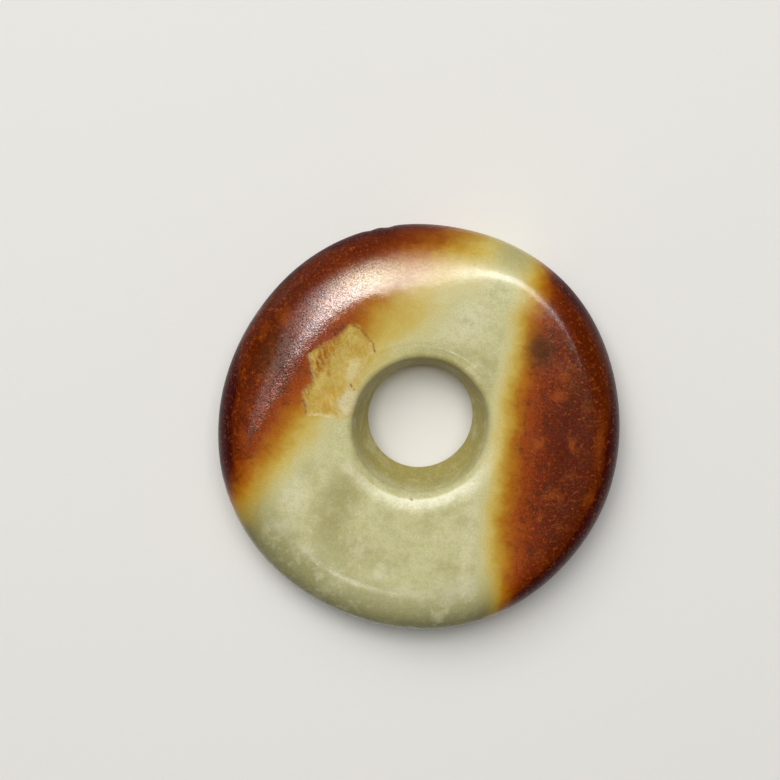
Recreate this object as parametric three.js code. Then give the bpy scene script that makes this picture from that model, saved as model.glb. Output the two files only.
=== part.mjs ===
// A jade disc pendant: one thick ring of nephrite, worked by hand. Its hole was drilled from both
// faces, so that two cones meet in a narrow waist. The mouths of the hole are softened, the rim is
// rounded all round, and a shallow scar in the upper face was polished over and left.
//
// Millimetres, +Z up. The disc lies on its back face: z = 0 is the plane that it rests on, and the
// origin is under the middle of its overall width and length. Seen face on, +X is to the right and
// +Y is up. Angles are in degrees, turning from +X towards +Y.
import * as THREE from 'three';

const { clamp, degToRad, lerp, smoothstep } = THREE.MathUtils;

// Driving dimensions
const rimDiameter = 50; // averaged all round
const thickness = 13;
const waistDiameter = 12.8; // the narrowest part of the hole
const mouthDiameter = 16.8; // where each drilled cone meets the bevel of its lip
const lipDiameter = 20.2; // where that bevel meets the face
const lipDrop = 0.42; // how far the bevel falls from the face to the mouth
const waistReach = 0.2; // how far the worn edge of the waist runs up each cone
const mouthReach = 0.6; // how far the softened edge of the mouth runs down the cone and up the bevel
const lipReach = 1.1; // how far the softened edge of the lip runs down the bevel and over the face
const shoulderWidth = 4.4; // from the rim in to the flat of the face
const shoulderSquareness = 2.4; // of the rounded rim: 2 would be an ellipse, and more is squarer

// The shoulder was ground back further over one stretch of the rim. It reaches its full extra width
// inside the stretch and dies out over the blend on either side.
const groundExtra = 4.4;
const groundMiddle = 125;
const groundHalfSpan = 30;
const groundBlend = 40;

// Each wave has a number of lobes round the disc, a height, and an angle at which one lobe peaks.
const rimWaves = [
  { lobes: 2, height: 0.24, peakAt: 65 },
  { lobes: 3, height: 0.09, peakAt: -52 },
  { lobes: 4, height: 0.1, peakAt: 24 },
  { lobes: 5, height: 0.07, peakAt: -21 },
  { lobes: 6, height: 0.06, peakAt: -16 },
];
const holeWaves = [{ lobes: 2, height: 0.11, peakAt: 36 }];

// The two cones were not drilled on one line, so each level of the hole has its own centre.
const upperMouthCentre = new THREE.Vector2(0, 0.65);
const waistCentre = new THREE.Vector2(0.1, 1.4);
const lowerMouthCentre = new THREE.Vector2(0.3, 1.2);

// The scar in the upper face, a rounded rectangle that leans to the right
const scarCentre = new THREE.Vector2(-10.2, 6.8);
const scarLength = 11.6;
const scarWidth = 8.6;
const scarLean = -10;
const scarDepth = 0.35;
const scarSquareness = 3;
const scarEdge = 0.3; // the share of the way in from its outline over which it reaches full depth

// How finely the faceted solid follows the form
const sectors = 96;
const waistSteps = 2;
const coneSteps = 3;
const mouthSteps = 3;
const lipSteps = 2;
const faceSteps = 6;
const rimSteps = 18;

// Worked out from the driving dimensions
const halfThickness = thickness / 2;
const rimRadius = rimDiameter / 2;
const lipRadius = lipDiameter / 2;
const faceEnd = rimRadius - shoulderWidth;

// One point of the rounded rim, at an angle above or below the middle of the thickness
function rimPoint(angle) {
  const rounded = (part) => Math.sign(part) * Math.abs(part) ** (2 / shoulderSquareness);
  const radius = faceEnd + shoulderWidth * rounded(Math.cos(angle));
  return new THREE.Vector2(radius, halfThickness * rounded(Math.sin(angle)));
}

// The section of an even ring, as radius and height, closed on itself. It starts on the upper cone
// and goes down the hole, out under the lower face, up round the rim and back over the upper face.
function evenSection() {
  const waist = new THREE.Vector2(waistDiameter / 2, 0);
  const upperMouth = new THREE.Vector2(mouthDiameter / 2, halfThickness - lipDrop);
  const lowerMouth = new THREE.Vector2(mouthDiameter / 2, lipDrop - halfThickness);
  const upperLip = new THREE.Vector2(lipRadius, halfThickness);
  const lowerLip = new THREE.Vector2(lipRadius, -halfThickness);
  const upperFaceEnd = new THREE.Vector2(faceEnd, halfThickness);
  const lowerFaceEnd = new THREE.Vector2(faceEnd, -halfThickness);
  const partWay = (from, to, reach) => from.clone().lerp(to, reach / from.distanceTo(to));

  const points = [partWay(waist, upperMouth, waistReach)];
  const addCurve = (curve, steps) => points.push(...curve.getPoints(steps).slice(1));
  const addLine = (end, steps) => addCurve(new THREE.LineCurve(points.at(-1), end), steps);
  const addCorner = (corner, end, steps) =>
    addCurve(new THREE.QuadraticBezierCurve(points.at(-1), corner, end), steps);

  addCorner(waist, partWay(waist, lowerMouth, waistReach), waistSteps);
  addLine(partWay(lowerMouth, waist, mouthReach), coneSteps);
  addCorner(lowerMouth, partWay(lowerMouth, lowerLip, mouthReach), mouthSteps);
  addLine(partWay(lowerLip, lowerMouth, lipReach), 1);
  addCorner(lowerLip, partWay(lowerLip, lowerFaceEnd, lipReach), lipSteps);
  for (let step = 0; step <= rimSteps; step++) {
    points.push(rimPoint(Math.PI * (step / rimSteps - 0.5)));
  }
  addLine(partWay(upperLip, upperFaceEnd, lipReach), faceSteps);
  addCorner(upperLip, partWay(upperLip, upperMouth, lipReach), lipSteps);
  addLine(partWay(upperMouth, upperLip, mouthReach), 1);
  addCorner(upperMouth, partWay(upperMouth, waist, mouthReach), mouthSteps);
  addLine(points[0], coneSteps);
  return points;
}

const sumOfWaves = (waves, angle) =>
  waves.reduce((sum, wave) => sum + wave.height * Math.cos(wave.lobes * (angle - degToRad(wave.peakAt))), 0);

function holeCentre(height) {
  const mouthCentre = height > 0 ? upperMouthCentre : lowerMouthCentre;
  return waistCentre.clone().lerp(mouthCentre, Math.abs(height) / halfThickness);
}

// How wide the shoulder is at an angle round the disc
function shoulderAt(angle) {
  const fromMiddle = angle - degToRad(groundMiddle);
  const turn = Math.abs(Math.atan2(Math.sin(fromMiddle), Math.cos(fromMiddle)));
  const away = smoothstep(turn, degToRad(groundHalfSpan), degToRad(groundHalfSpan + groundBlend));
  return shoulderWidth + groundExtra * (1 - away);
}

// Where a point of the even ring lies in the real disc, seen face on. The hole and its lips follow
// the drilled centres, the shoulder and rim follow the worn outline, and the face joins the two.
function worked(radius, height, angle) {
  const outwards = new THREE.Vector2(Math.cos(angle), Math.sin(angle));
  const holeRadius = Math.min(radius, lipRadius) + sumOfWaves(holeWaves, angle);
  const holeSide = holeCentre(height).addScaledVector(outwards, holeRadius);

  const rim = rimRadius + sumOfWaves(rimWaves, angle);
  const acrossShoulder = (Math.max(radius, faceEnd) - faceEnd) / shoulderWidth;
  const rimSide = outwards.multiplyScalar(lerp(rim - shoulderAt(angle), rim, acrossShoulder));

  return holeSide.lerp(rimSide, clamp((radius - lipRadius) / (faceEnd - lipRadius), 0, 1));
}

// How far the scar lowers the upper face at a place seen face on
function scarAt(place) {
  const local = place.clone().sub(scarCentre).rotateAround(new THREE.Vector2(), degToRad(-scarLean));
  const across = Math.abs(local.x / (scarWidth / 2)) ** scarSquareness;
  const along = Math.abs(local.y / (scarLength / 2)) ** scarSquareness;
  const inwards = 1 - (across + along) ** (1 / scarSquareness);
  return scarDepth * smoothstep(inwards, 0, scarEdge);
}

function discGeometry() {
  const geometry = new THREE.LatheGeometry(evenSection(), sectors).rotateX(Math.PI / 2);
  const position = geometry.getAttribute('position');
  for (let i = 0; i < position.count; i++) {
    const [x, y, height] = [position.getX(i), position.getY(i), position.getZ(i)];
    const place = worked(Math.hypot(x, y), height, Math.atan2(y, x));
    position.setXYZ(i, place.x, place.y, height > 0 ? height - scarAt(place) : height);
  }
  geometry.computeBoundingBox();
  const middle = geometry.boundingBox.getCenter(new THREE.Vector3());
  geometry.translate(-middle.x, -middle.y, halfThickness);
  geometry.computeVertexNormals();
  return geometry;
}

const celadonAndRusset = new THREE.MeshStandardMaterial({ color: '#b7a672', roughness: 0.3, metalness: 0 });

const disc = new THREE.Mesh(discGeometry(), celadonAndRusset);
disc.name = 'jade_disc';

const pendant = new THREE.Group();
pendant.add(disc);

export default pendant;
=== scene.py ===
import math
from functools import partial

import bmesh
import bpy
from bpy.props import FloatProperty, FloatVectorProperty, IntProperty, PointerProperty
from mathutils import Euler, Matrix, Vector, noise


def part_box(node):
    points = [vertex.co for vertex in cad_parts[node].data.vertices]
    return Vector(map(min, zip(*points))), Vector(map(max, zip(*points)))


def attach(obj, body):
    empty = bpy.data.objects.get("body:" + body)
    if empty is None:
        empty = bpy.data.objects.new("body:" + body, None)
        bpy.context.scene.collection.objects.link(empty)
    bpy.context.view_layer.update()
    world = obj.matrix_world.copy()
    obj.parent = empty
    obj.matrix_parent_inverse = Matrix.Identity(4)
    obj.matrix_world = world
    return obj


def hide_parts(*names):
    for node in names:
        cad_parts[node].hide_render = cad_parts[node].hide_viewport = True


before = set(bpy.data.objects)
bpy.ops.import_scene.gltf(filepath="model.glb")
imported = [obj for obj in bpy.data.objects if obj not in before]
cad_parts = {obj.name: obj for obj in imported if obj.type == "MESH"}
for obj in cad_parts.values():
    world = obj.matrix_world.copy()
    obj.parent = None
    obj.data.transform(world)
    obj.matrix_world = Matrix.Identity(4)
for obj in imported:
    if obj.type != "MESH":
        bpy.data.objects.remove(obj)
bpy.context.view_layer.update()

bl_info = {
    "name": "Jade Disc Pendant",
    "version": (1, 0, 0),
    "blender": (4, 5, 0),
    "location": "3D View > Sidebar > Jade",
    "description": "Carves a thick jade disc pendant and lights it on a pale floor",
    "category": "Add Mesh",
}

CAD_LOW, CAD_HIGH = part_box("jade_disc")
MM = 0.001

# Places on the disc are in millimetres from its middle, seen face on, with +X right and +Y up.
# Directions round it are in degrees, turning from +X towards +Y.

# Each wave has a number of lobes round the disc, a height and the direction of one peak.
RIM_WAVES = ((2, 0.24, 65), (3, 0.09, -52), (4, 0.1, 24), (5, 0.07, -21), (6, 0.06, -16))
HOLE_WAVES = ((2, 0.11, 36),)

# The two cones were not drilled on one line, so each level of the hole has its own centre.
UPPER_MOUTH_CENTRE = Vector((0, 0.65))
WAIST_CENTRE = Vector((0.1, 1.4))
LOWER_MOUTH_CENTRE = Vector((0.3, 1.2))

# The outline of the spalled scar, clockwise from its top
SCAR_OUTLINE = (
    (-7.3, 13.2),
    (-6.0, 11.4),
    (-5.6, 9.7),
    (-6.6, 8.1),
    (-7.4, 5.4),
    (-7.6, 3.6),
    (-7.8, 1.9),
    (-9.2, 1.4),
    (-10.9, 1.8),
    (-13.7, 1.9),
    (-14.2, 3.4),
    (-14.5, 5.0),
    (-13.1, 6.0),
    (-13.4, 7.6),
    (-13.6, 9.8),
    (-12.4, 10.5),
    (-10.1, 11.7),
    (-8.6, 13.2),
)

# Each zone is a span along X and a span along Y.
SCAR_ZONE = ((-15.5, -4.6), (0.2, 14.6))
RIDGE_ZONE = ((-15.5, -4.6), (-1.5, 11.0))

# How far inside its outline the scar falls away: a sharp share of its depth, then a gentle rest
SCAR_SHARP_SHARE = 0.08
SCAR_SHARP_REACH = 0.6
SCAR_GENTLE_REACH = 3.4
SCAR_MARGIN = 0.2  # how far outside its outline the look of the scar starts

# Fine parallel steps of the fracture: the direction across them, their spacing and height, and the
# middle and radii of the part where they stand higher, and by how much
FRACTURE_ACROSS = (0.91, 0.41)
FRACTURE_SPACING = 0.8
FRACTURE_HEIGHT = 0.006
FRACTURE_PEAK_MIDDLE = Vector((-12, 5.5))
FRACTURE_PEAK_RADII = (1.0, 3.0)
FRACTURE_PEAK_EXTRA = 0.026

# Cracks and pits on the face: the points that each runs through, its width and its depth
SCAR_CRACK = (((-8.0, 13.0), (-6.9, 12.3), (-6.3, 11.4), (-5.7, 10.8), (-5.5, 9.8)), 0.14, 0.012)
SCAR_CRESCENT = (((-12.9, 6.6), (-13.35, 7.3), (-13.45, 8.1), (-13.6, 8.8)), 0.13, 0.01)
SCAR_SLIVER = (((-14.2, 3.9), (-13.9, 3.1), (-13.8, 2.4)), 0.14, 0.02)
SCAR_PIT = (((-8.4, 5.8), (-8.3, 5.55)), 0.11, 0.03)
SCAR_LOWER_PIT = (((-8.05, 5.2), (-7.85, 5.1)), 0.1, 0.03)
LIP_PIT = (((-1.0, -8.0), (-1.0, -8.2)), 0.13, 0.06)
CRACKS = (SCAR_CRACK, SCAR_CRESCENT, SCAR_SLIVER, SCAR_PIT, SCAR_LOWER_PIT, LIP_PIT)
CRACK_REACH = 6.0  # no crack reaches further than this from its first point

# Ridges on the face, with the width and height of each
SCAR_CREST = (((-6.1, 9.6), (-6.7, 8.4), (-7.0, 7.1), (-7.8, 6.0), (-7.6, 3.6), (-7.9, 1.9)), 0.22, 0.02)
SCAR_STEP = (((-12.9, 6.8), (-12.5, 5.6), (-11.4, 4.6), (-10.6, 3.4), (-9.6, 1.9)), 0.16, 0.012)
WALL_CREASE = (((-6.5, 3.9), (-6.9, 1.9), (-7.3, -0.2)), 0.12, 0.07)
RIDGES = (SCAR_CREST, SCAR_STEP, WALL_CREASE)
MARKED_RADIUS = 16.5  # no mark is carved on the face further out

# The part of the section that has the closest points: down from the face, and out from the lip
LIP_DEPTH = 1.0
LIP_MARGIN = 0.3

# Allowances for rounding: how far past the face's end the rim starts, as a share of half the
# thickness, and how far apart two points are still one
PAST_FACE_END = 1e-5
SAME_POINT = 1e-4
FACING_UP = 0.2  # the least rise of a normal on a face that is refined for the scar

# Worn ridges that the drill left round the lip: radius, width, height, and where each starts and ends
DRILL_CENTRE = Vector((0, 0.6))
DRILL_RIDGES = ((9.75, 0.13, 0.045, 40, 70), (9.8, 0.15, 0.025, 65, 95), (8.45, 0.13, 0.05, 33, 52))
DRILL_FADE = (3, 4)  # each dies out from this many degrees inside its ends to this many past them

# Where the face falls away a little before the shoulder: the direction, its half span, how far it
# blends on either side of that, the radii that it falls between, and the drop
WORN_EDGE = (-119, 32, 15, (19.7, 22.1), 0.07)

# Small dents in the rim: the direction, the half width in degrees, and the depth
RIM_DENTS = ((99, 1.6, 0.16), (104, 1.2, 0.12), (-14, 1.0, 0.1), (196, 1.4, 0.08), (203, 1.1, 0.07))
DENT_WIDTH = 2.0  # how far in from the rim they reach
DENT_HALF_HEIGHT = 0.55  # as a share of half the thickness

# The faint waviness of a surface that was ground by hand
WAVINESS = 0.03
WAVINESS_WIDTH = 7.0


def linear(hex_colour):
    """The linear red, green and blue of an sRGB hex colour."""
    parts = (int(hex_colour[i : i + 2], 16) / 255 for i in (0, 2, 4))
    return tuple(p / 12.92 if p <= 0.04045 else ((p + 0.055) / 1.055) ** 2.4 for p in parts)


def ease(value, start, end):
    """0 before start, 1 after end, and a smooth rise between them."""
    t = min(max((value - start) / (end - start), 0.0), 1.0)
    return t * t * (3 - 2 * t)


def turn_between(angle, other):
    """The smaller turn between two directions, in radians."""
    return abs(math.remainder(angle - other, math.tau))


# Sizes and colours that the panel shows


def length_setting(name, description, millimetres):
    return FloatProperty(
        name=name,
        description=description,
        default=millimetres * MM,
        unit="LENGTH",
        precision=5,
    )


def angle_setting(name, description, degrees):
    return FloatProperty(
        name=name,
        description=description,
        default=math.radians(degrees),
        subtype="ANGLE",
    )


def share_setting(name, description, share):
    return FloatProperty(name=name, description=description, default=share, min=0)


def colour_setting(name, description, hex_colour):
    return FloatVectorProperty(
        name=name,
        description=description,
        default=linear(hex_colour),
        min=0,
        max=1,
        subtype="COLOR",
    )


class JadeDiscSettings(bpy.types.PropertyGroup):
    """Sizes of the disc"""

    rim_diameter: length_setting("Rim Diameter", "Outer diameter, averaged all round", 50)
    waist_diameter: length_setting("Waist Diameter", "Narrowest part of the hole", 12.8)
    mouth_diameter: length_setting("Mouth Diameter", "Where each drilled cone meets its lip's bevel", 16.8)
    lip_diameter: length_setting("Lip Diameter", "Where that bevel meets the face", 20.2)
    lip_drop: length_setting("Lip Drop", "How far the bevel falls from the face to the mouth", 0.42)
    waist_reach: length_setting("Waist Reach", "How far the worn waist runs up each cone", 0.2)
    mouth_reach: length_setting("Mouth Reach", "How far the softened edge of the mouth runs each way", 0.6)
    lip_reach: length_setting("Lip Reach", "How far the softened edge of the lip runs each way", 1.1)
    shoulder_width: length_setting("Shoulder Width", "From the rim in to the flat of the face", 4.4)
    shoulder_squareness: share_setting("Shoulder Squareness", "2 is an ellipse, and more is squarer", 2.4)
    ground_extra: length_setting("Ground Extra", "How much wider the ground back shoulder is", 4.4)
    ground_middle: angle_setting("Ground Middle", "Direction of the stretch that was ground back", 125)
    ground_half_span: angle_setting("Ground Half Span", "Half the stretch that has the full extra width", 30)
    ground_blend: angle_setting("Ground Blend", "How far the extra width takes to die out", 40)
    scar_depth: length_setting("Scar Depth", "Depth of the spalled scar", 0.35)
    sectors: IntProperty(name="Sectors", description="Steps round the disc", default=360, min=96, max=600)


class JadeStoneSettings(bpy.types.PropertyGroup):
    """Colours of the stone"""

    celadon: colour_setting("Celadon", "The pale body of the stone", "c8c390")
    celadon_light: colour_setting("Celadon Light", "Clouds in the pale body", "d6d0a8")
    celadon_olive: colour_setting("Celadon Olive", "Darker clouds in the pale body", "a39c66")
    # Painted shade: the drilled wall of the hole is drawn darker olive for the shade that falls in it.
    wall_shade_olive: colour_setting("Wall Olive", "The drilled wall of the hole", "ab9c4e")
    # Painted shade: the pale body is darkened towards the lower rim, as the light from above leaves it.
    rim_shade_olive: colour_setting("Rim Olive", "The pale body where it turns down at the lower rim", "5c5832")
    primrose: colour_setting("Primrose", "Where the pale body first turns yellow", "cbbf82")
    straw: colour_setting("Straw", "Where the skin begins", "c8b05b")
    honey: colour_setting("Honey", "The yellow edge of the skin", "bb9433")
    amber: colour_setting("Amber", "Just inside the yellow edge", "ad6e14")
    rust: colour_setting("Rust", "The orange-brown of the skin", "964308")
    chestnut: colour_setting("Chestnut", "The red-brown of the skin", "762908")
    oxblood: colour_setting("Oxblood", "The darkest brown of the skin", "561b04")
    # Garnet: partly the skin's own deep red at the rim, partly painted shade where the rim turns from the
    # light.
    garnet: colour_setting("Garnet", "The deep red band round the rim", "3a0302")
    ember: colour_setting("Ember", "Orange patches and flecks in the skin", "ab5417")
    umber: colour_setting("Umber", "Olive-brown mottles in the skin", "4a2a0a")


class JadeStudioSettings(bpy.types.PropertyGroup):
    """Camera, lights and floor"""

    camera_tilt: angle_setting("Camera Tilt", "How far the camera leans towards the disc's top", 5)
    camera_distance: length_setting("Camera Distance", "From the disc's mid-plane", 268.8)
    key_power: share_setting("Key Power", "Watts of the panel that lights the shoulder", 2.3)
    halo_power: share_setting("Halo Power", "Watts of the larger panel that softens the key's edges", 1.8)
    side_power: share_setting("Side Power", "Watts of the panel to the upper left", 2.1)
    sky_power: share_setting("Sky Power", "Watts of the wide panel behind them all", 2.4)
    edge_power: share_setting("Edge Power", "Watts of the small strip on the side of the disc's foot", 0.03)
    room_light: share_setting("Room Light", "Strength of the light all round", 0.08)
    floor_size: length_setting("Floor Size", "Side of the floor", 3000)
    floor_colour: colour_setting("Floor Colour", "Pale paper", "e4e2dd")


class JadePendantSettings(bpy.types.PropertyGroup):
    """All that the panel shows"""

    disc: PointerProperty(type=JadeDiscSettings)
    stone: PointerProperty(type=JadeStoneSettings)
    studio: PointerProperty(type=JadeStudioSettings)


def settings():
    """The sizes and colours that the panel shows."""
    return bpy.context.scene.jade_pendant


# The form of the disc


class DiscForm:
    """The driving sizes of the disc in millimetres, and where they put a point of an even ring."""

    def __init__(self, sizes):
        self.half_thickness = (CAD_HIGH[2] - CAD_LOW[2]) / MM / 2
        self.rim_radius = sizes.rim_diameter / MM / 2
        self.waist_radius = sizes.waist_diameter / MM / 2
        self.mouth_radius = sizes.mouth_diameter / MM / 2
        self.lip_radius = sizes.lip_diameter / MM / 2
        self.lip_drop = sizes.lip_drop / MM
        self.waist_reach = sizes.waist_reach / MM
        self.mouth_reach = sizes.mouth_reach / MM
        self.lip_reach = sizes.lip_reach / MM
        self.shoulder_width = sizes.shoulder_width / MM
        self.squareness = sizes.shoulder_squareness
        self.ground_extra = sizes.ground_extra / MM
        self.ground_middle = sizes.ground_middle
        self.ground_half_span = sizes.ground_half_span
        self.ground_blend = sizes.ground_blend
        self.scar_depth = sizes.scar_depth / MM
        self.face_end = self.rim_radius - self.shoulder_width

    def waves(self, waves, angle):
        """How far a set of waves pushes an outline out at an angle."""
        return sum(height * math.cos(lobes * (angle - math.radians(peak))) for lobes, height, peak in waves)

    def hole_centre(self, height):
        """The centre of the hole at a height above the middle of the thickness."""
        mouth = UPPER_MOUTH_CENTRE if height > 0 else LOWER_MOUTH_CENTRE
        return WAIST_CENTRE.lerp(mouth, min(abs(height) / self.half_thickness, 1.0))

    def shoulder_at(self, angle):
        """How wide the shoulder is at an angle round the disc."""
        turn = turn_between(angle, self.ground_middle)
        away = ease(turn, self.ground_half_span, self.ground_half_span + self.ground_blend)
        return self.shoulder_width + self.ground_extra * (1 - away)

    def worked(self, radius, height, angle):
        """Where a point of an even ring lies in the real disc, seen face on."""
        outwards = Vector((math.cos(angle), math.sin(angle)))
        hole_radius = min(radius, self.lip_radius) + self.waves(HOLE_WAVES, angle)
        hole_side = self.hole_centre(height) + outwards * hole_radius

        rim = self.rim_radius + self.waves(RIM_WAVES, angle)
        across_shoulder = max(radius - self.face_end, 0) / self.shoulder_width
        rim_side = outwards * (rim - self.shoulder_at(angle) * (1 - across_shoulder))

        across_face = (radius - self.lip_radius) / (self.face_end - self.lip_radius)
        return hole_side.lerp(rim_side, min(max(across_face, 0), 1))


def draw_section(mesh, form, rim_steps, lip_step, face_step, under_step):
    """Draw the closed section of an even ring as a wire in the XZ plane."""
    half = form.half_thickness
    waist = mesh.verts.new((form.waist_radius, 0, 0))
    upper_mouth = mesh.verts.new((form.mouth_radius, 0, half - form.lip_drop))
    lower_mouth = mesh.verts.new((form.mouth_radius, 0, form.lip_drop - half))
    upper_lip = mesh.verts.new((form.lip_radius, 0, half))
    lower_lip = mesh.verts.new((form.lip_radius, 0, -half))
    face_end = mesh.verts.new((form.face_end, 0, half))

    # The rim is half a circle, squeezed to the width of the shoulder and squared a little.
    spun = bmesh.ops.spin(
        mesh,
        geom=[face_end],
        cent=(form.face_end, 0, 0),
        axis=(0, 1, 0),
        angle=math.pi,
        steps=rim_steps,
        use_merge=False,
    )
    lower_face_end = next(part for part in spun["geom_last"] if isinstance(part, bmesh.types.BMVert))
    power = 2 / form.squareness
    for vert in mesh.verts:
        across, up = (vert.co.x - form.face_end) / half, vert.co.z / half
        if across > PAST_FACE_END:
            vert.co.x = form.face_end + form.shoulder_width * across**power
            vert.co.z = math.copysign(half * abs(up) ** power, up)

    corners = (lower_face_end, lower_lip, lower_mouth, waist, upper_mouth, upper_lip, face_end)
    for start, end in zip(corners, corners[1:]):
        mesh.edges.new((start, end))
    for softened, reach, segments in (
        ([waist], form.waist_reach, 4),
        ([upper_mouth, lower_mouth], form.mouth_reach, 6),
        ([upper_lip, lower_lip], form.lip_reach, 6),
    ):
        bmesh.ops.bevel(
            mesh,
            geom=softened,
            offset=reach,
            offset_type="OFFSET",
            segments=segments,
            profile=0.5,
            affect="VERTICES",
            material=-1,
        )

    # The points lie closest on the upper lip, which has the finest marks, and furthest apart underneath.
    for edge in mesh.edges[:]:
        middle = (edge.verts[0].co + edge.verts[1].co) / 2
        step = face_step if middle.z > 0 else under_step
        if middle.z > half - LIP_DEPTH and middle.x < form.lip_radius + LIP_MARGIN:
            step = lip_step
        cuts = int(edge.calc_length() / step)
        if cuts:
            bmesh.ops.subdivide_edges(mesh, edges=[edge], cuts=cuts)


# Relief on the carved surface


def distance_to_path(place, path, closed=False):
    """The shortest distance from a place to the straight stretches between a path's points."""
    ends = path[1:] + path[:1] if closed else path[1:]
    shortest = math.inf
    for start, end in zip(path, ends):
        start, end = Vector(start), Vector(end)
        along = end - start
        share = min(max((place - start).dot(along) / along.length_squared, 0), 1)
        shortest = min(shortest, (place - start - along * share).length)
    return shortest


def is_inside(place, outline):
    """Whether a line from the place to the right crosses the outline an odd number of times."""
    crossings = 0
    for start, end in zip(outline, outline[1:] + outline[:1]):
        if (start[1] > place.y) != (end[1] > place.y):
            share = (place.y - start[1]) / (end[1] - start[1])
            crossings += place.x < start[0] + share * (end[0] - start[0])
    return crossings % 2 == 1


def in_zone(place, zone):
    """Whether a place lies within a zone's span along X and along Y."""
    return all(low < part < high for part, (low, high) in zip(place, zone))


def lumps(place, size, seed):
    """Smooth noise between about -1 and 1, whose lumps are as wide as the size."""
    return noise.noise(Vector((place.x / size, place.y / size, seed)))


def scar_relief(place, depth):
    """How deep the scar is at a place, and its share of the place, from 0 outside to 1 inside."""
    ragged = 0.3 * lumps(place, 1.3, seed=3.0) + 0.15 * lumps(place, 0.5, seed=5.0)
    distance = distance_to_path(place, SCAR_OUTLINE, closed=True)
    inwards = (distance if is_inside(place, SCAR_OUTLINE) else -distance) + ragged
    if inwards <= -SCAR_MARGIN:
        return 0.0, 0.0
    sharp = SCAR_SHARP_SHARE * ease(inwards, 0, SCAR_SHARP_REACH)
    drop = depth * (sharp + (1 - SCAR_SHARP_SHARE) * ease(inwards, 0, SCAR_GENTLE_REACH))

    # The steps wander a little, and they and the lumps fade out at the scar's edge.
    across = place.x * FRACTURE_ACROSS[0] + place.y * FRACTURE_ACROSS[1]
    steps = math.sin(across * math.tau / FRACTURE_SPACING + 3 * lumps(place, 2.2, seed=9.0))
    peak = 1 - ease((place - FRACTURE_PEAK_MIDDLE).length, *FRACTURE_PEAK_RADII)
    relief = (FRACTURE_HEIGHT + FRACTURE_PEAK_EXTRA * peak) * steps
    relief += 0.025 * lumps(place, 1.3, seed=11.0) + 0.008 * lumps(place, 0.4, seed=13.0)
    drop += ease(inwards, 0.2, 0.9) * relief
    return drop, ease(inwards, -SCAR_MARGIN, SCAR_SHARP_REACH)


def near_path(place, path, width):
    """A share that is 1 on a path and falls away over the width on either side."""
    return math.exp(-((distance_to_path(place, path) / width) ** 2))


def drill_ridges(place):
    """The height of the ridges round the lip."""
    radius = (place - DRILL_CENTRE).length
    angle = math.degrees(math.atan2(place.y - DRILL_CENTRE.y, place.x - DRILL_CENTRE.x))
    inside, past = DRILL_FADE
    height = 0.0
    for ring, width, ridge, start, end in DRILL_RIDGES:
        along = ease(angle, start - past, start + inside) * (1 - ease(angle, end - inside, end + past))
        height += ridge * along * math.exp(-(((radius - ring) / width) ** 2))
    return height


def worn_edge(place):
    """How far the face has fallen at its lower left edge."""
    direction, half_span, blend, radii, drop = WORN_EDGE
    turn = math.degrees(turn_between(math.atan2(place.y, place.x), math.radians(direction)))
    return drop * ease(place.length, *radii) * (1 - ease(turn, half_span - blend, half_span + blend))


def rim_dents(place, form):
    """How far the dents press the rim inwards."""
    if place.xy.length < form.rim_radius - DENT_WIDTH:
        return 0.0
    angle = math.atan2(place.y, place.x)
    fade = 1 - ease(abs(place.z), 0.0, DENT_HALF_HEIGHT * form.half_thickness)
    return fade * sum(
        depth * math.exp(-((turn_between(angle, math.radians(at)) / math.radians(half)) ** 2))
        for at, half, depth in RIM_DENTS
    )


def carve_relief(mesh, form):
    """Move each point in or out along its normal, and note the scar, the stains and the crests."""
    scar_layer = mesh.verts.layers.float.new("scar")
    stain_layer = mesh.verts.layers.float.new("stain")
    crest_highlight_layer = mesh.verts.layers.float.new("crest")
    mesh.normal_update()
    moves = []
    for vert in mesh.verts:
        place = vert.co.xy
        drop = WAVINESS * noise.noise(vert.co / WAVINESS_WIDTH) + rim_dents(vert.co, form)
        if vert.co.z > 0:
            drop += worn_edge(place)
        if vert.co.z > 0 and place.length < MARKED_RADIUS:
            drop -= drill_ridges(place)
            if in_zone(place, SCAR_ZONE):
                depth, vert[scar_layer] = scar_relief(place, form.scar_depth)
                drop += depth
            for path, width, depth in CRACKS:
                if (place - Vector(path[0])).length < CRACK_REACH:
                    near = near_path(place, path, width)
                    drop += depth * near
                    vert[stain_layer] = max(vert[stain_layer], near)
            for path, width, height in RIDGES:
                if in_zone(place, RIDGE_ZONE):
                    near = near_path(place, path, width)
                    drop -= height * near
                    vert[crest_highlight_layer] = max(vert[crest_highlight_layer], near)
        moves.append(-vert.normal * drop)
    for vert, move in zip(mesh.verts, moves):
        vert.co += move


# Materials

SMOOTH = {"interpolation_type": "SMOOTHSTEP"}
COLOUR_MIX = {"data_type": "RGBA"}

# The left boundary of the russet skin: the direction that it runs in and the one across it, its
# distance from the middle, and how far it has curved inwards at a distance along it
LEFT_ALONG = (0.655, 0.756, 0)
LEFT_ACROSS = (-0.756, 0.655, 0)
LEFT_DISTANCE = 10.6
LEFT_CURVE = 2.2
LEFT_CURVED_AT = 23.5

# The right boundary: its distance from the middle, its lean, and how the lean grows upwards
RIGHT_DISTANCE = 9.6
RIGHT_LEAN = 0.12
RIGHT_BEND = 0.0029

# Noise that makes an edge wander: the size of its lumps, and their height
SKIN_WANDER = ((6.0, 2.4), (1.6, 1.1), (0.6, 0.7))
GARNET_WANDER = ((2.2, 1.2), (0.5, 1.2))
RAGGED = 1.8  # how far the edges of the spots wander

# Radii between which each part of the surface goes from none to full
WALL_SPAN = (9.0, 7.6)
WORN_LIP_SPAN = (11.2, 10.0)
# The next span is where painted shade grows on the lower rim.
LOWER_RIM_SHADE_SPAN = (17.0, 26.0)
RUBBED_RIM_SPAN = (17.5, 20.5)
DARK_RIM_SPAN = (19.5, 24.0)

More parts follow.
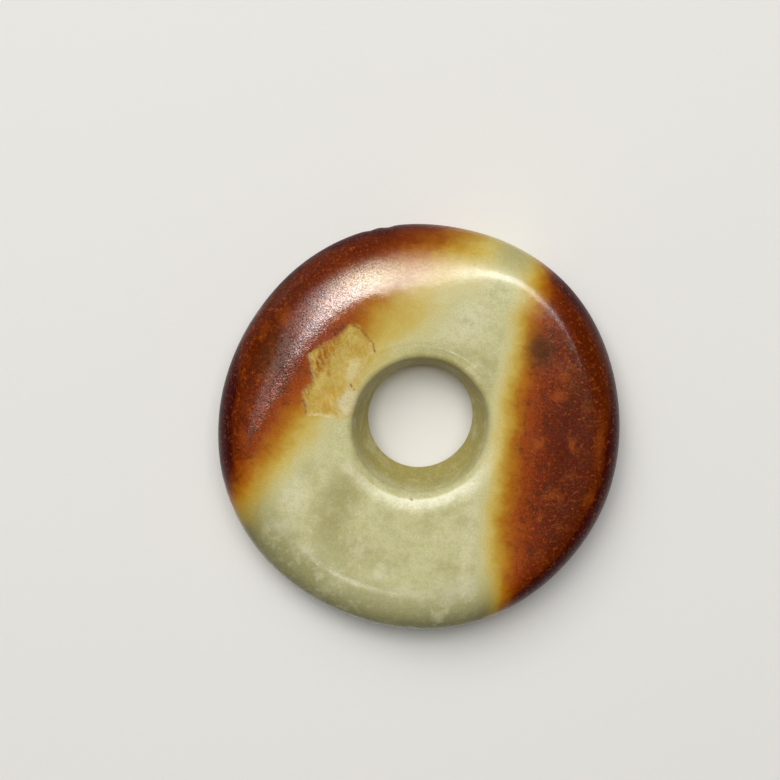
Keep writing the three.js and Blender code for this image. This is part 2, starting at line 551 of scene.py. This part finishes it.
# The shades of the skin, and how far inside it each lies
SKIN_SHADES = (
    (-1.8, "celadon"),
    (-0.7, "primrose"),
    (0.2, "straw"),
    (1.1, "honey"),
    (2.0, "amber"),
    (3.3, "rust"),
    (5.2, "chestnut"),
    (8.0, "oxblood"),
)
SKIN_SPAN = (-1.8, 13.0)  # how far inside it the run of shades starts and ends

# Places up the disc between which its upper and its lower part go from none to full
UPPER_SPAN = (10, 17)
LOWER_SPAN = (4, -8)

# Layers of noise that mottle the stone: the size of a mottle in millimetres, the noise at which the
# colour starts and is full, the colour and its strength
BODY_MOTTLES = (
    (3.0, 0.5, 0.72, "celadon_light", 0.5),
    (3.0, 0.5, 0.3, "celadon_olive", 0.4),
    (1.0, 0.52, 0.7, "celadon_light", 0.25),
    (1.0, 0.52, 0.35, "celadon_olive", 0.22),
    (0.3, 0.52, 0.7, "celadon_light", 0.15),
    (0.3, 0.52, 0.35, "celadon_olive", 0.15),
)
SKIN_MOTTLES = (
    (3.2, 0.52, 0.7, "ember", 0.45),
    (1.8, 0.5, 0.32, "oxblood", 0.6),
    (0.9, 0.5, 0.34, "umber", 0.65),
    (0.5, 0.52, 0.74, "ember", 0.6),
    (0.25, 0.48, 0.36, "oxblood", 0.5),
    (0.22, 0.54, 0.68, "ember", 0.35),
)

# Spots on the face: middle, half size, turn in degrees, colour and strength
SPOT_DEPTH = 6.0  # how far each reaches in from the face
CLOUD_SOFTNESS = 0.7
PATCH_SOFTNESS = 0.8
CLOUDS = (
    ((-10.0, -8.9), (2.1, 5.2), -24, "celadon_olive", 0.8),
    ((-8.4, -14.4), (3.4, 2.2), -20, "celadon_olive", 0.65),
    ((-15.3, -14.4), (1.8, 4.0), 45, "celadon_olive", 0.4),
    ((-15.4, -7.2), (1.5, 2.5), 15, "celadon_light", 0.85),
    ((-16.6, -11.2), (1.4, 1.2), 0, "celadon_light", 0.9),
    ((-13.4, -1.8), (2.2, 1.6), 25, "celadon_light", 0.4),
    ((-14.2, -4.2), (1.6, 1.3), 0, "celadon_olive", 0.4),
    ((-4.4, -17.2), (1.1, 1.0), 0, "celadon_light", 0.8),
    ((3.4, 9.9), (4.2, 1.3), -10, "celadon_olive", 0.4),
    ((8.4, 6.8), (1.6, 3.0), 5, "celadon_olive", 0.45),
    ((8.8, -4.5), (1.3, 5.5), 4, "celadon_light", 0.8),
    ((6.6, -12.5), (1.6, 5.0), 0, "celadon_light", 0.6),
    ((5.6, -19.0), (4.2, 1.6), 12, "celadon_light", 0.9),
    ((4.9, 14.0), (3.4, 2.6), 20, "celadon_light", 0.9),
)
SKIN_PATCHES = (
    # The straw and honey patches lighten the skin under and beside the wide highlight: partly its own golden
    # colour, partly painted highlight.
    ((-2.4, 14.6), (3.6, 1.9), 48, "straw", 0.4),
    ((-5.2, 18.8), (4.0, 1.6), 15, "honey", 0.75),
    ((11.5, 21.3), (2.2, 1.5), -30, "celadon_olive", 0.7),
    ((-10.0, 15.8), (2.6, 1.5), 36, "amber", 0.45),
    ((-1.2, 23.6), (7.0, 1.2), 0, "chestnut", 0.6),
    ((-6.0, 23.2), (4.0, 1.2), 12, "oxblood", 0.6),
    ((-17.4, 9.4), (2.2, 3.0), -25, "umber", 0.5),
    ((-21.6, 0.4), (1.6, 2.4), 0, "oxblood", 0.5),
    ((14.6, 10.0), (1.5, 2.1), 0, "umber", 0.8),
    ((17.6, -1.2), (2.2, 3.4), 10, "oxblood", 0.5),
    ((18.6, -1.5), (0.35, 1.0), 15, "ember", 0.45),
    ((16.8, 4.4), (0.8, 0.55), 0, "ember", 0.45),
    ((21.9, -1.4), (0.5, 2.4), -8, "ember", 0.45),
    ((14.5, -1.2), (0.7, 0.6), 0, "ember", 0.5),
    ((14.7, -10.4), (0.35, 0.5), 0, "ember", 0.5),
    ((20.8, -8.2), (0.6, 1.1), -25, "ember", 0.45),
    ((22.6, -5.8), (0.45, 0.9), -30, "ember", 0.5),
    ((-16.3, 14.1), (0.9, 1.0), 0, "ember", 0.5),
    ((-18.9, 12.3), (0.5, 0.9), -25, "ember", 0.5),
    ((-19.4, 6.4), (0.35, 0.4), 0, "ember", 0.5),
    ((-21.4, -0.6), (0.5, 1.2), 5, "ember", 0.4),
)

# Spots in the scar, each with a colour of its own
SCAR_PATCH_SOFTNESS = 0.45
SCAR_PATCHES = (
    ((-10.6, 10.2), (1.3, 0.9), 25, "a96f18", 0.75),
    ((-11.9, 8.6), (0.8, 1.8), -12, "9c6214", 1.0),
    ((-10.75, 7.1), (0.4, 0.4), 0, "a4681a", 0.8),
    ((-9.6, 8.6), (1.2, 1.9), -15, "bba255", 0.6),
    ((-8.0, 7.6), (0.8, 1.5), -25, "cfc18c", 0.9),
    ((-8.5, 3.6), (1.1, 1.8), -5, "d0c59b", 1.0),
    ((-11.3, 4.4), (1.2, 0.9), 10, "c2983a", 0.8),
    ((-12.9, 3.6), (0.9, 1.6), 10, "b8963c", 0.6),
    ((-10.9, 2.0), (2.0, 0.3), 2, "cdbf86", 0.5),
    ((-12.1, 6.0), (0.5, 1.8), -20, "c8ac58", 0.6),
    ((-13.5, 6.2), (0.5, 1.8), 0, "9c6a24", 0.7),
    ((-13.9, 2.4), (0.4, 0.8), 0, "7c4c12", 0.6),
)

# The bare stone of the scar, and what lies on it
SCAR_GOLD = "b4933c"
SCAR_STRAW = "c0a655"
SCAR_FLECKS = "94691f"
FRACTURE_PALE = "d2bc74"
# A painted highlight drawn along the crests of the ridges
CREST_HIGHLIGHT = "d0c28c"
STAIN_BROWN = "7d4c16"

# Where the deep red band round the rim is wider: the direction, the cosine of the turn from it at
# which the band starts to widen, and how much wider it gets
GARNET_STRETCHES = ((-28, 0.62, 1.6), (180, 0.9, 1.6))
GARNET_WIDEST = 0.98  # the cosine of the turn within which it is widest
GARNET_EDGE = 24.35  # the radius at which the band starts elsewhere

# Fine parallel marks of a tool on the right: the middle, half size and lean of the patch, and their spacing
TOOL_MARKS = ((17.6, 6.4), (2.4, 1.9), -12, 0.3)
FRACTURE_STREAKS = (20, 0.3)  # the lean and spacing of the fine streaks in the scar

# A hazier spot on the upper face: middle, half size, turn, softness, and how much rougher it is
HAZY_SPOT = ((1.0, 19.2), (5.5, 3.0), 0, 0.8, 0.14)

# What is too fine to carve, in millimetres, and how much the grain sways the shade and the gloss. Each
# pair is for the pale body and the deep skin. Real grain is finer, and is drawn coarse enough to show.
GRAIN_SIZE = 0.2
GRAIN_HEIGHTS = (0.002, 0.012)
GRAIN_SHADES = (0.5, 1.4)
GRAIN_SPARKLES = (1.2, 4.0)
RIPPLE_SIZE = 1.6
RIPPLE_HEIGHT = 0.02
TOOL_MARK_HEIGHT = 0.002
FRACTURE_STREAK_HEIGHT = 0.01

# Where the rim turns dry: the radius at the bottom, how much further out that is at the top, and
# the width over which it dries
DRY_RIM = (20.6, 1.4, 2.0)


def set_inputs(tree, sockets, values):
    """Set a node's inputs to values, or link them to other nodes' outputs."""
    for socket, value in zip(sockets, values):
        if isinstance(value, bpy.types.NodeSocket):
            tree.links.new(value, socket)
        else:
            socket.default_value = (*value, 1) if socket.type == "RGBA" else value


def set_named(tree, node, named):
    """Set or link the inputs that the names give."""
    set_inputs(tree, [node.inputs[name] for name in named], named.values())


def add_node(tree, kind, *values, named=None, stops=(), output=0, **node_settings):
    """Add a shader node with its settings and colour stops, set or link its inputs, and return an output."""
    node = tree.nodes.new("ShaderNode" + kind)
    for name, value in node_settings.items():
        setattr(node, name, value)
    if stops:
        elements = node.color_ramp.elements
        while len(elements) < len(stops):
            elements.new(1.0)
        for element, (position, colour) in zip(elements, stops):
            element.position = position
            element.color = (*colour, 1)
    set_inputs(tree, [socket for socket in node.inputs if socket.enabled], values)
    set_named(tree, node, named or {})
    if isinstance(output, str):
        return node.outputs[output]
    return [socket for socket in node.outputs if socket.enabled][output]


def spot(add, place, centre, half_size, turn, soft, strength):
    """A share that is the strength inside an oval spot on the face and 0 outside it."""
    middle = (*centre, CAD_HIGH[2] / MM)
    reach = (*half_size, SPOT_DEPTH)
    local = add("Mapping", place, middle, (0, 0, math.radians(turn)), reach, vector_type="TEXTURE")
    distance = add("VectorMath", local, operation="LENGTH", output="Value")
    return add("MapRange", distance, 1 - soft, 1 + soft, strength, 0.0, **SMOOTH)


def from_axis(add, place, centre, start, end):
    """A share that rises from 0 to 1 as the distance from an upright axis goes from start to end."""
    offset = add("VectorMath", place, (*centre, 0), operation="SUBTRACT")
    flat = add("VectorMath", offset, (1, 1, 0), operation="MULTIPLY")
    distance = add("VectorMath", flat, operation="LENGTH", output="Value")
    return add("MapRange", distance, start, end, **SMOOTH)


def mottle(add, place, size, start, full, strength, detail=3.0, roughness=0.6):
    """A share that rises from 0 to the strength as fine noise goes from start to full."""
    lumpy = add("TexNoise", place, 1 / size, detail, roughness)
    return add("MapRange", lumpy, start, full, 0.0, strength, **SMOOTH)


def wander(add, place, value, size, height):
    """A value pushed up and down by noise whose lumps are as wide as the size."""
    swing = add("Math", add("TexNoise", place, 1 / size, 3.0, 0.6), 0.5, operation="SUBTRACT")
    return add("Math", swing, height, value, operation="MULTIPLY_ADD")


def skin_depth(add, place):
    """How far a point lies inside the russet skin, in millimetres: under 0 it is in the pale body."""
    # The left boundary runs up to the right, and curves towards the disc's middle at its ends. Its
    # colours are drawn out wider than the right boundary's, and widest at its upper end.
    along = add("VectorMath", place, LEFT_ALONG, operation="DOT_PRODUCT", output="Value")
    across = add("VectorMath", place, LEFT_ACROSS, operation="DOT_PRODUCT", output="Value")
    squared = add("Math", along, along, operation="MULTIPLY")
    fourth = add("Math", squared, squared, operation="MULTIPLY")
    curve = -LEFT_CURVE / LEFT_CURVED_AT**4
    left_edge = add("Math", fourth, curve, LEFT_DISTANCE, operation="MULTIPLY_ADD")
    left = add("Math", across, left_edge, operation="SUBTRACT")
    drawn_out = add("MapRange", along, -8, 10, 0.76, 0.45, **SMOOTH)
    left = add("Math", left, drawn_out, 0.35, operation="MULTIPLY_ADD")

    # The right boundary is nearly straight, and leans outwards towards the top.
    x = add("SeparateXYZ", place, output="X")
    y = add("SeparateXYZ", place, output="Y")
    lean = add("Math", y, RIGHT_BEND, RIGHT_LEAN, operation="MULTIPLY_ADD")
    right_edge = add("Math", y, lean, RIGHT_DISTANCE, operation="MULTIPLY_ADD")
    right = add("Math", x, right_edge, operation="SUBTRACT")

    depth = add("Math", left, right, 1.5, operation="SMOOTH_MAX")
    for size, height in SKIN_WANDER:
        depth = wander(add, place, depth, size, height)
    return depth


def garnet_band(add, place, depth):
    """A share that is 1 in the ragged deep red band round the rim, partly the skin's own red and partly
    painted shade.
    """
    flat = add("VectorMath", place, (1, 1, 0), operation="MULTIPLY")
    radius = add("VectorMath", flat, operation="LENGTH", output="Value")
    outwards = add("VectorMath", flat, operation="NORMALIZE")
    edge = GARNET_EDGE
    for direction, cosine, width in GARNET_STRETCHES:
        towards = (math.cos(math.radians(direction)), math.sin(math.radians(direction)), 0)
        facing = add("VectorMath", outwards, towards, operation="DOT_PRODUCT", output="Value")
        widening = add("MapRange", facing, cosine, GARNET_WIDEST, 0.0, width, **SMOOTH)
        edge = add("Math", edge, widening, operation="SUBTRACT")
    for size, height in GARNET_WANDER:
        radius = wander(add, place, radius, size, height)
    past_edge = add("Math", radius, edge, operation="SUBTRACT")
    band = add("MapRange", past_edge, -0.3, 0.3, **SMOOTH)
    skinned = add("MapRange", depth, 1.5, 5.0, **SMOOTH)
    return add("Math", band, skinned, operation="MULTIPLY")


def streaks(add, place, lean, spacing):
    """Fine streaks between 0 and 1, which lean to the left of upright by an angle."""
    turned = (0, 0, math.radians(lean))
    stretch = (spacing, 6 * spacing, 6 * spacing)
    local = add("Mapping", place, (0, 0, 0), turned, stretch, vector_type="TEXTURE")
    return add("MapRange", add("TexNoise", local, 1.0, 1.0), 0.35, 0.65, **SMOOTH)


def tool_marks(add, place):
    """A share for the fine streaks in a patch on the right."""
    centre, half_size, lean, spacing = TOOL_MARKS
    marks = streaks(add, place, lean, spacing)
    return add("Math", marks, spot(add, place, centre, half_size, lean, 0.6, 1.0), operation="MULTIPLY")


def celadon_body(add, place, ragged, walled, lower_rim_shade, stone):
    """The pale body: soft clouds of lighter and olive jade, fine mottles all over, painted shade on wall and
    lower rim.
    """
    colour = stone.celadon
    for centre, half_size, turn, name, strength in CLOUDS:
        share = spot(add, ragged, centre, half_size, turn, CLOUD_SOFTNESS, strength)
        colour = add("Mix", share, colour, getattr(stone, name), **COLOUR_MIX)
    # Painted shade: olive is laid over the drilled wall and over the lower rim, where shade falls.
    for share, strength, shade in ((walled, 0.85, stone.wall_shade_olive), (lower_rim_shade, 0.85, stone.rim_shade_olive)):
        share = add("Math", share, strength, operation="MULTIPLY")
        colour = add("Mix", share, colour, shade, **COLOUR_MIX)
    for size, start, full, name, strength in BODY_MOTTLES:
        share = mottle(add, place, size, start, full, strength)
        colour = add("Mix", share, colour, getattr(stone, name), **COLOUR_MIX)
    return colour


def russet_skin(add, place, ragged, depth, banded, scratched, stone):
    """The iron-stained skin: straw and honey at its edge, then amber, rust, chestnut and oxblood."""
    start, end = SKIN_SPAN
    stops = [((inside - start) / (end - start), getattr(stone, name)) for inside, name in SKIN_SHADES]
    colour = add("ValToRGB", add("MapRange", depth, start, end), stops=stops)

    deep = add("MapRange", depth, 1.2, 5.0, **SMOOTH)
    for size, start, full, name, strength in SKIN_MOTTLES:
        share = mottle(add, place, size, start, full, strength)
        share = add("Math", share, deep, operation="MULTIPLY")
        colour = add("Mix", share, colour, getattr(stone, name), **COLOUR_MIX)
    for centre, half_size, turn, name, strength in SKIN_PATCHES:
        share = spot(add, ragged, centre, half_size, turn, PATCH_SOFTNESS, strength)
        colour = add("Mix", share, colour, getattr(stone, name), **COLOUR_MIX)
    # The skin darkens to oxblood towards the rim: partly its own deeper stain, partly painted shade where the
    # rim turns from the light.
    outer = add("Math", from_axis(add, place, (0, 0), *DARK_RIM_SPAN), deep, operation="MULTIPLY")
    darker = add("Math", outer, 0.7, operation="MULTIPLY")
    colour = add("Mix", darker, colour, stone.oxblood, **COLOUR_MIX)
    share = add("Math", scratched, 0.15, operation="MULTIPLY")
    colour = add("Mix", share, colour, stone.ember, **COLOUR_MIX)

    # The deep red band is partly the skin's own colour and partly painted shade.
    # Orange crumbs lie in the deep red band and on the skin next to it.
    colour = add("Mix", banded, colour, stone.garnet, **COLOUR_MIX)
    crumbs = mottle(add, place, 0.5, 0.53, 0.72, 0.6, detail=4.0, roughness=0.7)
    crumbly = add("Math", banded, outer, operation="MAXIMUM")
    crumbs = add("Math", crumbs, crumbly, operation="MULTIPLY")
    return add("Mix", crumbs, colour, stone.ember, **COLOUR_MIX)


def scar_stone(add, place, ragged, colour, scarred, fractured):
    """The spalled stone in the scar: golden olive, with brown stains, bare plateaus and a painted highlight
    on the crests.
    """
    clouds = mottle(add, place, 1.8, 0.4, 0.7, 1.0)
    gold = add("Mix", clouds, linear(SCAR_GOLD), linear(SCAR_STRAW), **COLOUR_MIX)
    for centre, half_size, turn, shade, strength in SCAR_PATCHES:
        share = spot(add, ragged, centre, half_size, turn, SCAR_PATCH_SOFTNESS, strength)
        gold = add("Mix", share, gold, linear(shade), **COLOUR_MIX)
    flecks = mottle(add, place, 0.3, 0.52, 0.75, 0.4, roughness=0.65)
    gold = add("Mix", flecks, gold, linear(SCAR_FLECKS), **COLOUR_MIX)
    paler = add("Math", fractured, 0.35, operation="MULTIPLY")
    gold = add("Mix", paler, gold, linear(FRACTURE_PALE), **COLOUR_MIX)
    colour = add("Mix", scarred, colour, gold, **COLOUR_MIX)

    # Noise breaks up the crests and stains, so that they aren't even lines.
    broken = add("MapRange", add("TexNoise", place, 1 / 0.7, 2.0), 0.35, 0.6, 0.35, 1.0, **SMOOTH)
    # Painted highlight: the crests of the ridges are drawn pale cream, as if lit from above.
    for layer, shade, strength in (("crest", CREST_HIGHLIGHT, 0.4), ("stain", STAIN_BROWN, 0.85)):
        share = add("Attribute", attribute_name=layer, output="Fac")
        share = add("Math", share, strength, operation="MULTIPLY")
        share = add("Math", share, broken, operation="MULTIPLY")
        colour = add("Mix", share, colour, linear(shade), **COLOUR_MIX)
    return colour


def jade_material(stone):
    """Nephrite, carved and rubbed smooth by hand.

    The eye gets a waxy, slightly deep gloss on the pale body, where light goes a little way in, and
    a drier, grainy sheen on the russet skin, where iron has stained the stone from outside.
    """
    material = bpy.data.materials.new("hand_polished_nephrite")
    material.use_nodes = True
    tree = material.node_tree
    add = partial(add_node, tree)
    place = add("VectorMath", add("TexCoord", output="Object"), operation="SCALE", named={"Scale": 1 / MM})
    noise_shift = add("TexNoise", place, 1 / 1.2, 3.0, 0.6, output="Color")
    shift = add("VectorMath", noise_shift, (0.5, 0.5, 0.5), operation="SUBTRACT")
    ragged = add("VectorMath", shift, (RAGGED, RAGGED, 0), place, operation="MULTIPLY_ADD")

    depth = skin_depth(add, place)
    walled = from_axis(add, place, WAIST_CENTRE, *WALL_SPAN)
    upwards = add("SeparateXYZ", place, output="Y")
    upper = add("MapRange", upwards, *UPPER_SPAN, **SMOOTH)
    lower = add("MapRange", upwards, *LOWER_SPAN, **SMOOTH)
    # Painted shade: the lower part of the rim is darkened, as if the light from above falls off there.
    lower_rim_shade = add("Math", lower, from_axis(add, place, (0, 0), *LOWER_RIM_SHADE_SPAN), operation="MULTIPLY")
    banded = garnet_band(add, place, depth)
    scratched = tool_marks(add, place)
    scarred = add("Attribute", attribute_name="scar", output="Fac")
    fractured = add("Math", streaks(add, ragged, *FRACTURE_STREAKS), scarred, operation="MULTIPLY")

    body = celadon_body(add, place, ragged, walled, lower_rim_shade, stone)
    skin = russet_skin(add, place, ragged, depth, banded, scratched, stone)
    # Painted shade: the skin near its pale edge also darkens towards the lower rim.
    edge = add("MapRange", depth, 2.0, -0.8, 0.0, 0.85, **SMOOTH)
    skin = add("Mix", add("Math", lower_rim_shade, edge, operation="MULTIPLY"), skin, stone.rim_shade_olive, **COLOUR_MIX)
    skinned = add("MapRange", depth, -2.2, -0.8, **SMOOTH)
    colour = add("Mix", skinned, body, skin, **COLOUR_MIX)
    colour = scar_stone(add, place, ragged, colour, scarred, fractured)

    # Every grain of the stone is a little lighter or darker than the next, in the skin most of all.
    deep = add("MapRange", depth, 1.0, 5.0, **SMOOTH)
    grain = add("TexNoise", place, 1 / GRAIN_SIZE, 2.0, 0.6)
    swing = add("MapRange", deep, 0.0, 1.0, *GRAIN_SHADES)
    uneven = add("Math", grain, 0.5, operation="SUBTRACT")
    shade = add("Math", uneven, swing, 1.0, operation="MULTIPLY_ADD")
    colour = add("HueSaturation", 0.5, 1.0, shade, 1.0, colour)

    # Dry grain of the skin, faint ripples of the polishing, tool marks and the streaks of the fracture
    height = add("MapRange", deep, 0.0, 1.0, *GRAIN_HEIGHTS)
    height = add("Math", grain, height, operation="MULTIPLY")
    ripples = add("TexNoise", place, 1 / RIPPLE_SIZE, 2.0)
    for share, rise in (
        (ripples, RIPPLE_HEIGHT),
        (scratched, TOOL_MARK_HEIGHT),
        (fractured, FRACTURE_STREAK_HEIGHT),
    ):
        height = add("Math", share, rise, height, operation="MULTIPLY_ADD")
    bump = add("Bump", named={"Strength": 1.0, "Distance": MM, "Height": height})

    roughness = add("Math", add("TexNoise", place, 1 / 2.4, 3.0), 0.08, 0.08, operation="MULTIPLY_ADD")
    roughness = add("Math", roughness, spot(add, place, *HAZY_SPOT), operation="ADD")
    worn = from_axis(add, place, UPPER_MOUTH_CENTRE, *WORN_LIP_SPAN)
    rubbed = add("Math", from_axis(add, place, (0, 0), *RUBBED_RIM_SPAN), upper, operation="MULTIPLY")
    for share, extra in ((worn, 0.11), (rubbed, 0.1), (scarred, 0.3), (walled, 0.2), (banded, 0.2)):
        roughness = add("Math", share, extra, roughness, operation="MULTIPLY_ADD")

    # The drilled wall, the rim and the scar are the driest, and the worn lip is drier than the face.
    # The rim's dry part starts further out at the top.
    lowest, further, width = DRY_RIM
    rim_start = add("Math", upper, further, lowest, operation="MULTIPLY_ADD")
    rim_end = add("Math", rim_start, width, operation="ADD")
    dry = add("Math", walled, from_axis(add, place, (0, 0), rim_start, rim_end), operation="MAXIMUM")
    dry = add("Math", dry, scarred, operation="MAXIMUM")
    dry = add("Math", worn, 0.42, dry, operation="MULTIPLY_ADD")
    specular = add("MapRange", dry, 0.0, 1.0, 0.5, 0.03)

    # The grains also take the polish unevenly, which makes the highlights on the skin sparkle.
    sparkle = add("MapRange", deep, 0.0, 1.0, *GRAIN_SPARKLES)
    sparkle = add("Math", uneven, sparkle, 1.0, operation="MULTIPLY_ADD")
    specular = add("Math", specular, sparkle, operation="MULTIPLY")

    shader = tree.nodes["Principled BSDF"]
    finish = {
        "Base Color": colour,
        "Roughness": roughness,
        "Normal": bump,
        "Specular IOR Level": specular,
        "IOR": 1.61,
        "Subsurface Weight": 0.25,
        "Subsurface Radius": (1.0, 0.8, 0.4),
        "Subsurface Scale": 0.7 * MM,
    }
    set_named(tree, shader, finish)
    return material


def paper_material(studio):
    """Uncoated paper, which gives the eye a plain pale ground with no gloss."""
    material = bpy.data.materials.new("uncoated_pale_paper")
    material.use_nodes = True
    tree = material.node_tree
    shader = tree.nodes["Principled BSDF"]
    finish = {"Base Color": studio.floor_colour, "Roughness": 0.95, "Specular IOR Level": 0.1}
    set_named(tree, shader, finish)
    return material


# The studio

# Each panel of light: its name, the setting with its power, its direction round the disc and its lean
# from straight above in degrees, and its distance and size in metres
PANELS = (
    ("key_panel", "key_power", 84, 13.2, 0.8, (0.246, 0.4)),
    ("key_halo", "halo_power", 107, 18.5, 0.82, (0.39, 0.38)),
    ("side_panel", "side_power", 117, 30, 1.0, (0.42, 0.32)),
    ("sky_panel", "sky_power", 108, 29, 1.0, (0.73, 0.95)),
    ("edge_strip", "edge_power", -101, 13.6, 0.8, (0.025, 0.05)),
)

# The point in the disc that the camera leans about, and how far right of it and above it the camera is
CAMERA_PIVOT = (0.1, 0.03, 6.5)
CAMERA_ASIDE = (-3.65, 4.59)
LENS = 100
SENSOR_WIDTH = 36
CLIP_START = 0.01  # in metres

# Operators


def finish_piece(name, mesh, material):
    """Turn a bmesh into an object at the origin."""
    data = bpy.data.meshes.new(name)
    mesh.to_mesh(data)
    mesh.free()
    data.materials.append(material)
    piece = bpy.data.objects.new(name, data)
    bpy.context.scene.collection.objects.link(piece)
    return piece


class JADE_OT_carve_disc(bpy.types.Operator):
    """Carve the disc: spin its section, work it out of round, spall the scar and polish it"""

    bl_idname = "jade.carve_disc"
    bl_label = "Carve Disc"

    def execute(self, context):
        sizes = settings().disc
        form = DiscForm(sizes)
        mesh = bmesh.new()
        draw_section(mesh, form, rim_steps=48, lip_step=0.1, face_step=0.25, under_step=0.9)
        bmesh.ops.spin(
            mesh,
            geom=mesh.verts[:] + mesh.edges[:],
            cent=(0, 0, 0),
            axis=(0, 0, 1),
            angle=math.tau,
            steps=sizes.sectors,
            use_merge=True,
        )
        bmesh.ops.remove_doubles(mesh, verts=mesh.verts[:], dist=SAME_POINT)
        bmesh.ops.recalc_face_normals(mesh, faces=mesh.faces[:])
        for vert in mesh.verts:
            vert.co.xy = form.worked(vert.co.xy.length, vert.co.z, math.atan2(vert.co.y, vert.co.x))
        self.refine_scar(mesh)
        carve_relief(mesh, form)
        for face in mesh.faces:
            face.smooth = True
        if not all(edge.is_manifold for edge in mesh.edges):
            raise RuntimeError("The carved surface isn't closed")
        self.lay_down(mesh)

        piece = finish_piece("carved_jade_disc", mesh, jade_material(settings().stone))
        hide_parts("jade_disc")
        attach(piece, "root")
        return {"FINISHED"}

    def refine_scar(self, mesh):
        """Halve the faces that the scar lies on, so that it can hold fine relief."""
        around_scar = dict.fromkeys(
            edge
            for face in mesh.faces
            if face.normal.z > FACING_UP and in_zone(face.calc_center_median().xy, SCAR_ZONE)
            for edge in face.edges
        )
        bmesh.ops.subdivide_edges(mesh, edges=list(around_scar), cuts=1, use_grid_fill=True)

    def lay_down(self, mesh):
        """Turn millimetres to metres, and put the origin under the middle of the disc."""
        bmesh.ops.scale(mesh, vec=(MM, MM, MM), verts=mesh.verts[:])
        low, high = (Vector([end(vert.co[i] for vert in mesh.verts) for i in range(3)]) for end in (min, max))
        middle = (low + high) / 2
        bmesh.ops.translate(mesh, vec=(-middle.x, -middle.y, -low.z), verts=mesh.verts[:])


class JADE_OT_set_stage(bpy.types.Operator):
    """Lay a pale floor under the disc, light it softly and look down on it"""

    bl_idname = "jade.set_stage"
    bl_label = "Set Stage"

    def execute(self, context):
        if "carved_jade_disc" not in bpy.data.objects:
            raise RuntimeError("Carve the disc before setting the stage")
        studio = settings().studio
        self.lay_floor(studio)
        self.hang_lights(studio)
        self.place_camera(studio)
        return {"FINISHED"}

    def lay_floor(self, studio):
        """Lay paper on the plane that the disc rests on."""
        mesh = bmesh.new()
        bmesh.ops.create_grid(mesh, x_segments=1, y_segments=1, size=studio.floor_size / 2)
        finish_piece("floor", mesh, paper_material(studio))

    def hang_lights(self, studio):
        """Hang the panels round the disc, each turned to its middle, in a dim even room."""
        middle = (Vector(CAD_LOW) + Vector(CAD_HIGH)) / 2
        for name, power, direction, lean, distance, size in PANELS:
            data = bpy.data.lights.new(name, "AREA")
            data.shape = "RECTANGLE"
            data.size, data.size_y = size
            data.energy = getattr(studio, power)
            lamp = bpy.data.objects.new(name, data)
            lamp.rotation_euler = Euler((0, math.radians(lean), math.radians(direction)))
            away = lamp.rotation_euler.to_matrix() @ Vector((0, 0, 1))
            lamp.location = middle + away * distance
            bpy.context.scene.collection.objects.link(lamp)
        room = bpy.data.worlds.new("soft_room")
        room.use_nodes = True
        background = room.node_tree.nodes["Background"]
        background.inputs["Color"].default_value = (1, 1, 1, 1)
        background.inputs["Strength"].default_value = studio.room_light
        bpy.context.scene.world = room
        bpy.context.scene.view_settings.view_transform = "Standard"

    def place_camera(self, studio):
        """Look straight at the disc, with its middle a little right of and below the frame's middle."""
        data = bpy.data.cameras.new("camera")
        data.lens = LENS
        data.sensor_width = SENSOR_WIDTH
        data.clip_start = CLIP_START
        camera = bpy.data.objects.new("camera", data)
        lean = Matrix.Rotation(-studio.camera_tilt, 4, "X")
        right, up = CAMERA_ASIDE
        offset = lean @ Vector((right * MM, up * MM, studio.camera_distance))
        camera.matrix_world = Matrix.Translation(Vector(CAMERA_PIVOT) * MM + offset) @ lean
        bpy.context.scene.collection.objects.link(camera)
        bpy.context.scene.camera = camera


class JADE_PT_panel(bpy.types.Panel):
    """The settings, each group over the operator that it sets"""

    bl_label = "Jade Disc Pendant"
    bl_idname = "JADE_PT_panel"
    bl_space_type = "VIEW_3D"
    bl_region_type = "UI"
    bl_category = "Jade"

    def draw(self, context):
        jade = context.scene.jade_pendant
        shown = (((jade.disc, jade.stone), "jade.carve_disc"), ((jade.studio,), "jade.set_stage"))
        for groups, operator in shown:
            column = self.layout.column()
            for group in groups:
                for name in group.__annotations__:
                    column.prop(group, name)
            column.operator(operator)


CLASSES = (
    JadeDiscSettings,
    JadeStoneSettings,
    JadeStudioSettings,
    JadePendantSettings,
    JADE_OT_carve_disc,
    JADE_OT_set_stage,
    JADE_PT_panel,
)


def register():
    for cls in CLASSES:
        bpy.utils.register_class(cls)
    bpy.types.Scene.jade_pendant = PointerProperty(type=JadePendantSettings)


def unregister():
    del bpy.types.Scene.jade_pendant
    for cls in reversed(CLASSES):
        bpy.utils.unregister_class(cls)


def main():
    register()
    bpy.ops.jade.carve_disc()
    bpy.ops.jade.set_stage()


if __name__ == "__main__":
    main()
